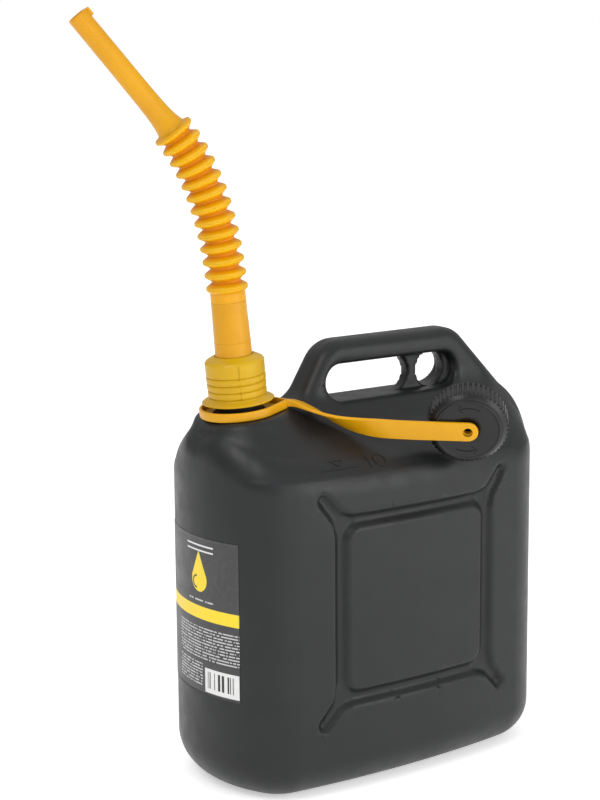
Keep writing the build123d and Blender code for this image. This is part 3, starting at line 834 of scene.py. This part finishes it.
# ---------------------------------------------------------------- label
def label(material):
    """Thin film that follows the curved front end."""
    rows, columns = 62, 84
    points = []
    for i in range(rows):
        z = LABEL_Z[0] + (LABEL_Z[1] - LABEL_Z[0]) * i / (rows - 1)
        for j in range(columns):
            y = LABEL_Y[0] + (LABEL_Y[1] - LABEL_Y[0]) * j / (columns - 1)
            ends = math.sqrt(max(END_R ** 2 - y * y, 1)) + LENGTH / 2 - END_R
            points.append((-ends + 1.0 * (abs(y) > 40), y, z))
    front = on_tank(points, LABEL_PROUD)
    back = on_tank(points, 0.06)
    faces = grid_faces(rows, columns, wrap_columns=False)
    count = rows * columns
    rim = list(range(columns)) + [i * columns + columns - 1 for i in range(1, rows)]
    rim += list(range(count - 2, count - columns - 1, -1))
    rim += [i * columns for i in range(rows - 2, 0, -1)]
    edge = [(rim[k], rim[k - 1], rim[k - 1] + count, rim[k] + count) for k in range(len(rim))]
    faces = [f[::-1] for f in faces] + [tuple(v + count for v in f) for f in faces] + edge
    return new_object("label_film", np.concatenate([front, back]), faces, material)


# ---------------------------------------------------------------- materials
def linear(srgb):
    """An sRGB colour from 0 to 255 as linear values."""
    out = []
    for value in srgb:
        share = value / 255
        out.append(share / 12.92 if share <= 0.04045 else ((share + 0.055) / 1.055) ** 2.4)
    return (*out, 1.0)


class Nodes:
    """Short calls for making one material's nodes."""

    def __init__(self, name):
        self.material = bpy.data.materials.new(name)
        self.material.use_nodes = True
        self.tree = self.material.node_tree
        self.shader = self.tree.nodes["Principled BSDF"]
        self.place = self.tree.nodes.new("ShaderNodeTexCoord").outputs["Object"]

    def link(self, source, target):
        self.tree.links.new(source, target)

    def noise(self, scale, detail=4.0, stretch=(1, 1, 1)):
        mapping = self.tree.nodes.new("ShaderNodeMapping")
        mapping.inputs["Scale"].default_value = stretch
        self.link(self.place, mapping.inputs["Vector"])
        node = self.tree.nodes.new("ShaderNodeTexNoise")
        node.inputs["Scale"].default_value = scale
        node.inputs["Detail"].default_value = detail
        self.link(mapping.outputs["Vector"], node.inputs["Vector"])
        return node.outputs["Fac"]

    def ramp(self, source, low, high, start=0.3, end=0.7):
        node = self.tree.nodes.new("ShaderNodeMapRange")
        node.inputs["From Min"].default_value = start
        node.inputs["From Max"].default_value = end
        node.inputs["To Min"].default_value = low
        node.inputs["To Max"].default_value = high
        self.link(source, node.inputs["Value"])
        return node.outputs["Result"]

    def math(self, kind, a, b=None):
        node = self.tree.nodes.new("ShaderNodeMath")
        node.operation = kind
        for socket, value in zip(node.inputs, (a, b)):
            if value is None:
                continue
            if isinstance(value, (int, float)):
                socket.default_value = value
            else:
                self.link(value, socket)
        return node.outputs[0]

    def mix(self, share, a, b):
        node = self.tree.nodes.new("ShaderNodeMix")
        node.data_type = "RGBA"
        if isinstance(share, float):
            node.inputs[0].default_value = share
        else:
            self.link(share, node.inputs[0])
        for socket, value in ((node.inputs[6], a), (node.inputs[7], b)):
            if isinstance(value, tuple):
                socket.default_value = value
            else:
                self.link(value, socket)
        return node.outputs[2]

    def bump(self, sources):
        """Several (height, strength, distance in millimetres) laid over each other."""
        normal = None
        for height, strength, distance in sources:
            node = self.tree.nodes.new("ShaderNodeBump")
            node.inputs["Strength"].default_value = strength
            node.inputs["Distance"].default_value = distance * MM
            self.link(height, node.inputs["Height"])
            if normal:
                self.link(normal, node.inputs["Normal"])
            normal = node.outputs["Normal"]
        self.link(normal, self.shader.inputs["Normal"])

    def translucent(self, weight):
        """Light that spreads a few millimetres inside yellow plastic."""
        self.shader.inputs["Subsurface Weight"].default_value = weight
        self.shader.inputs["Subsurface Radius"].default_value = (0.006, 0.0025, 0.0004)
        self.shader.inputs["Subsurface Scale"].default_value = 1.0


def moulded_plastic(name, colour, deep, rough, grain, grain_depth, level=0.5, glow=0.0):
    """Moulded plastic: fine grain, slow waviness, faint mottling and uneven gloss."""
    n = Nodes(name)
    slow, fine = n.noise(28, 3), n.noise(grain, 2)
    smudge = n.noise(75, 5)
    n.link(n.mix(n.ramp(slow, 0.0, 1.0), linear(colour), linear(deep)), n.shader.inputs["Base Color"])
    n.link(n.ramp(smudge, rough - 0.05, rough + 0.06), n.shader.inputs["Roughness"])
    n.bump([(fine, 0.35, grain_depth), (n.noise(34, 1), 0.25, 0.35)])
    n.shader.inputs["Specular IOR Level"].default_value = level
    if glow:
        n.translucent(glow)
    return n.material


def bellows_plastic(name, colour, deep, valley_shade, rough):
    """The spout's plastic, with painted shade: a darker orange mixed in down in the folds."""
    n = Nodes(name)
    attribute = n.tree.nodes.new("ShaderNodeAttribute")
    attribute.attribute_name = "painted_fold_shade"
    base = n.mix(n.ramp(n.noise(28, 3), 0.0, 1.0), linear(colour), linear(deep))
    # painted shade: the fold's depth pulls the colour towards the darker valley colour
    shade = n.ramp(attribute.outputs["Fac"], 0.0, 1.0, 0.12, 0.85)
    n.link(n.mix(shade, base, linear(valley_shade)), n.shader.inputs["Base Color"])
    n.link(n.ramp(n.noise(75, 5), rough - 0.05, rough + 0.06), n.shader.inputs["Roughness"])
    n.bump([(n.noise(1500, 2), 0.3, 0.03)])
    n.shader.inputs["Specular IOR Level"].default_value = 0.3
    n.translucent(0.25)
    return n.material


def rubber(name):
    """Smooth black nitrile rubber with a dusty bloom."""
    n = Nodes(name)
    dust = n.noise(320, 6)
    shade = n.mix(n.ramp(dust, 0.0, 0.5), linear((34, 34, 35)), linear((62, 62, 62)))
    n.link(shade, n.shader.inputs["Base Color"])
    n.link(n.ramp(dust, 0.6, 0.78), n.shader.inputs["Roughness"])
    n.bump([(n.noise(900, 3), 0.25, 0.05)])
    return n.material


def label_print(name):
    """Printed film: dark ground, a drop symbol, a plain band, rows of tiny strokes and a barred block."""
    n = Nodes(name)
    split = n.tree.nodes.new("ShaderNodeSeparateXYZ")
    n.link(n.place, split.inputs[0])
    across = n.math("MULTIPLY", split.outputs["Y"], -1000.0)
    up = n.math("MULTIPLY", split.outputs["Z"], 1000.0)

    def between(value, low, high):
        return n.math("MULTIPLY", n.math("GREATER_THAN", value, low), n.math("LESS_THAN", value, high))

    def box(low_a, high_a, low_u, high_u):
        return n.math("MULTIPLY", between(across, low_a, high_a), between(up, low_u, high_u))

    def strokes(pitch, share, seed):
        """Broken rows that look like small print from afar and say nothing."""
        row = n.math("FLOOR", n.math("DIVIDE", up, pitch))
        in_row = n.math("LESS_THAN", n.math("FRACT", n.math("DIVIDE", up, pitch)), share)
        join_vector = n.tree.nodes.new("ShaderNodeCombineXYZ")
        n.link(n.math("FLOOR", n.math("MULTIPLY", across, 1.15)), join_vector.inputs[0])
        n.link(row, join_vector.inputs[1])
        join_vector.inputs[2].default_value = seed
        white = n.tree.nodes.new("ShaderNodeTexWhiteNoise")
        n.link(join_vector.outputs[0], white.inputs["Vector"])
        return n.math("MULTIPLY", in_row, n.math("GREATER_THAN", white.outputs["Value"], 0.24))

    yellow, white_ink, ground = linear((236, 205, 24)), linear((215, 215, 214)), linear((50, 50, 52))
    drop_a = n.math("DIVIDE", n.math("SUBTRACT", across, 3.0), 9.5)
    drop_u = n.math("DIVIDE", n.math("SUBTRACT", up, 167.0), 9.5)
    ball = n.math("ADD", n.math("MULTIPLY", drop_a, drop_a), n.math("MULTIPLY", drop_u, drop_u))
    cone = n.math("ADD", n.math("ABSOLUTE", n.math("MULTIPLY", drop_a, 2.15)), drop_u)
    upper = n.math("MULTIPLY", n.math("GREATER_THAN", drop_u, 0.46), n.math("LESS_THAN", cone, 2.35))
    drop = n.math("MAXIMUM", n.math("LESS_THAN", ball, 1.0), upper)
    hollow_a = n.math("ADD", drop_a, 0.33)
    hollow_u = n.math("ADD", drop_u, 0.22)
    hollow = n.math("ADD", n.math("MULTIPLY", hollow_a, hollow_a), n.math("MULTIPLY", hollow_u, hollow_u))
    glint = n.math("MULTIPLY", between(hollow, 0.16, 0.30), n.math("LESS_THAN", hollow_a, 0.05))
    drop = n.math("MULTIPLY", drop, n.math("SUBTRACT", 1.0, glint))
    colour = n.mix(drop, ground, yellow)
    colour = n.mix(between(up, 136.5, 146.5), colour, yellow)
    text = n.math("MULTIPLY", strokes(2.35, 0.42, 1.0), box(-30, 44, 105, 131))
    small = n.math("MULTIPLY", strokes(2.35, 0.42, 2.0), box(-30, 6, 84, 103))
    head = n.math("MULTIPLY", strokes(3.2, 0.36, 4.0), box(-13, 20, 149.5, 153.5))
    ink = n.math("MAXIMUM", n.math("MAXIMUM", text, small), head)
    colour = n.mix(n.math("MULTIPLY", ink, 0.72), colour, white_ink)
    bars = n.tree.nodes.new("ShaderNodeTexWhiteNoise")
    bars.noise_dimensions = "1D"
    n.link(n.math("FLOOR", n.math("MULTIPLY", across, 1.3)), bars.inputs["W"])
    dark = n.math("MULTIPLY", n.math("GREATER_THAN", bars.outputs["Value"], 0.5), box(12, 38.5, 84, 97))
    colour = n.mix(box(9, 42.5, 80.5, 99.5), colour, white_ink)
    colour = n.mix(dark, colour, linear((20, 20, 20)))
    rule = n.math("MAXIMUM", box(-13, 20, 193, 194.2), box(-13, 20, 189, 190.2))
    colour = n.mix(rule, colour, white_ink)
    scuff = n.ramp(n.noise(220, 6), 0.0, 0.10, 0.45, 0.8)
    n.link(n.mix(scuff, colour, linear((120, 120, 120))), n.shader.inputs["Base Color"])
    n.link(n.ramp(n.noise(60, 4), 0.36, 0.5), n.shader.inputs["Roughness"])
    n.bump([(n.noise(26, 2), 0.3, 0.25), (n.noise(700, 2), 0.15, 0.02)])
    return n.material


def make_materials():
    """Every material of the object, by name."""
    return {
        "tank": moulded_plastic("tank_plastic", (28, 29, 30), (24, 25, 26), 0.40, 1100, 0.04, level=0.32),
        "cap": moulded_plastic("cap_plastic", (20, 20, 21), (17, 17, 18), 0.33, 1400, 0.03, level=0.35),
        "tether": moulded_plastic("tether_plastic", (210, 154, 3), (202, 144, 2), 0.38, 1300, 0.03,
                                  level=0.3, glow=0.12),
        "collar": moulded_plastic("collar_plastic", (196, 156, 5), (188, 146, 3), 0.36, 1300, 0.03,
                                  level=0.3, glow=0.08),
        "spout": moulded_plastic("spout_plastic", (206, 148, 2), (198, 138, 2), 0.36, 1300, 0.03,
                                 level=0.3, glow=0.15),
        # the third colour is painted shade for the valleys of the folds
        "bellows": bellows_plastic("bellows_plastic", (222, 168, 3), (214, 156, 2), (212, 128, 0), 0.38),
        "rubber": rubber("seal_rubber"),
        "label": label_print("label_print"),
    }


# ---------------------------------------------------------------- stage, lights, camera
def area_light(name, place, target, size, power, colour=(1, 1, 1)):
    """A soft box aimed at a point, sizes and places in metres."""
    data = bpy.data.lights.new(name, "AREA")
    data.shape = "RECTANGLE"
    data.size, data.size_y = size
    data.energy = power
    data.color = colour
    obj = bpy.data.objects.new(name, data)
    obj.location = place
    obj.rotation_euler = (Vector(target) - Vector(place)).to_track_quat("-Z", "Y").to_euler()
    bpy.context.scene.collection.objects.link(obj)


def studio():
    """White floor and surround, bright overhead and dim near the horizon, with soft boxes."""
    bpy.context.scene.view_settings.view_transform = "Standard"
    world = bpy.context.scene.world or bpy.data.worlds.new("studio")
    bpy.context.scene.world = world
    world.use_nodes = True
    tree = world.node_tree
    split = tree.nodes.new("ShaderNodeSeparateXYZ")
    tree.links.new(tree.nodes.new("ShaderNodeTexCoord").outputs["Generated"], split.inputs[0])
    rise = tree.nodes.new("ShaderNodeMapRange")
    for socket, value in (("From Min", 0.0), ("From Max", 0.9),
                          ("To Min", HORIZON_LIGHT), ("To Max", ZENITH_LIGHT)):
        rise.inputs[socket].default_value = value
    tree.links.new(split.outputs["Z"], rise.inputs["Value"])
    seen = tree.nodes.new("ShaderNodeMath")
    seen.operation = "MAXIMUM"
    tree.links.new(tree.nodes.new("ShaderNodeLightPath").outputs["Is Camera Ray"], seen.inputs[0])
    tree.links.new(rise.outputs["Result"], seen.inputs[1])
    background = tree.nodes["Background"]
    background.inputs["Color"].default_value = (1, 1, 1, 1)
    tree.links.new(seen.outputs[0], background.inputs["Strength"])
    mesh = bpy.data.meshes.new("floor")
    half = FLOOR_SIZE / 2
    corners = [(-half, -half, 0), (half, -half, 0), (half, half, 0), (-half, half, 0)]
    mesh.from_pydata(corners, [], [(0, 1, 2, 3)])
    floor = bpy.data.objects.new("floor", mesh)
    bpy.context.scene.collection.objects.link(floor)
    white = bpy.data.materials.new("floor_white")
    white.use_nodes = True
    shader = white.node_tree.nodes["Principled BSDF"]
    shader.inputs["Base Color"].default_value = (0.92, 0.92, 0.92, 1)
    shader.inputs["Roughness"].default_value = 0.9
    shader.inputs["Emission Color"].default_value = (1, 1, 1, 1)
    shader.inputs["Emission Strength"].default_value = FLOOR_GLOW
    mesh.materials.append(white)
    area_light("key", (-1.3, -0.5, 1.6), (0, 0, 0.2), (0.8, 0.8), 9)
    area_light("side", (0.9, -1.9, 0.7), (0, 0, 0.15), (1.4, 1.2), 17)
    area_light("strip", (-0.42, -1.75, 0.45), (-0.1, 0, 0.2), (0.35, 1.5), 5)


def camera():
    """The photograph's view."""
    data = bpy.data.cameras.new("camera")
    data.lens = 87.52
    data.sensor_width = 36.0
    obj = bpy.data.objects.new("camera", data)
    forward = Vector((0.57204, 0.79933, -0.18398))
    right = Vector((0.81235, -0.58312, -0.00767))
    up = Vector((0.11342, 0.14507, 0.98290))
    basis = Matrix((right, up, -forward)).transposed().to_4x4()
    obj.matrix_world = Matrix.Translation((-0.90783, -1.19379, 0.56690)) @ basis
    bpy.context.scene.collection.objects.link(obj)
    bpy.context.scene.camera = obj


# ---------------------------------------------------------------- assembly
def place_piece(obj, body, slot, *nodes):
    """Puts a piece on its body and hides the CAD nodes it stands for; slot is not used."""
    if nodes:
        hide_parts(*nodes)
    if body:
        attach(obj, body)
    return obj


def carry_over(node, material):
    """A CAD node shown as it is, with its own material."""
    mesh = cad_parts[node].data
    mesh.materials.clear()
    mesh.materials.append(material)


def build():
    """Makes every piece of the object."""
    kind = make_materials()
    place_piece(tank_skin(kind["tank"]), "tank", "tank_black",
                "tank_base", "tank_waist", "tank_shoulder", "tank_handle")
    place_piece(capacity_mark(kind["tank"]), "tank", "tank_black")
    place_piece(neck(kind["tank"]), "tank", "tank_black", "tank_neck")
    place_piece(label(kind["label"]), "tank", "label_print", "end_label")
    place_piece(tether_ring(kind["tether"]), "tether_ring", "tether_yellow", "tether_ring")
    strap = place_piece(tether_strap(kind["tether"]), None, "tether_yellow", "tether_strap")
    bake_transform(strap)
    place_piece(cap_outer(kind["cap"]), "cap_shell", "cap_black", "cap_outer")
    place_piece(collar(kind["collar"]), "spout_collar", "collar_yellow", "spout_collar")
    place_piece(tube(kind["spout"]), "spout_pipe", "spout_yellow", "spout_tube")
    frames = spout_frames()
    for i in range(FOLDS + 1):
        wall, low, high = bellows_wall(i, frames, kind["bellows"])
        nodes = [f"bellows_fold_{i + 1:02d}"] if i < FOLDS else []
        place_piece(wall, None, "spout_yellow", *nodes)
        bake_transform(wall)
    outlet = tip(frames[-1] @ shift(0, 0, FOLD_PITCH / 2), kind["spout"])
    place_piece(outlet, "spout_outlet", "spout_yellow", "spout_tip")
    carry_over("cap_inner", kind["cap"])
    carry_over("cap_gasket", kind["rubber"])
    carry_over("spout_seal", kind["rubber"])


build()
studio()
camera()
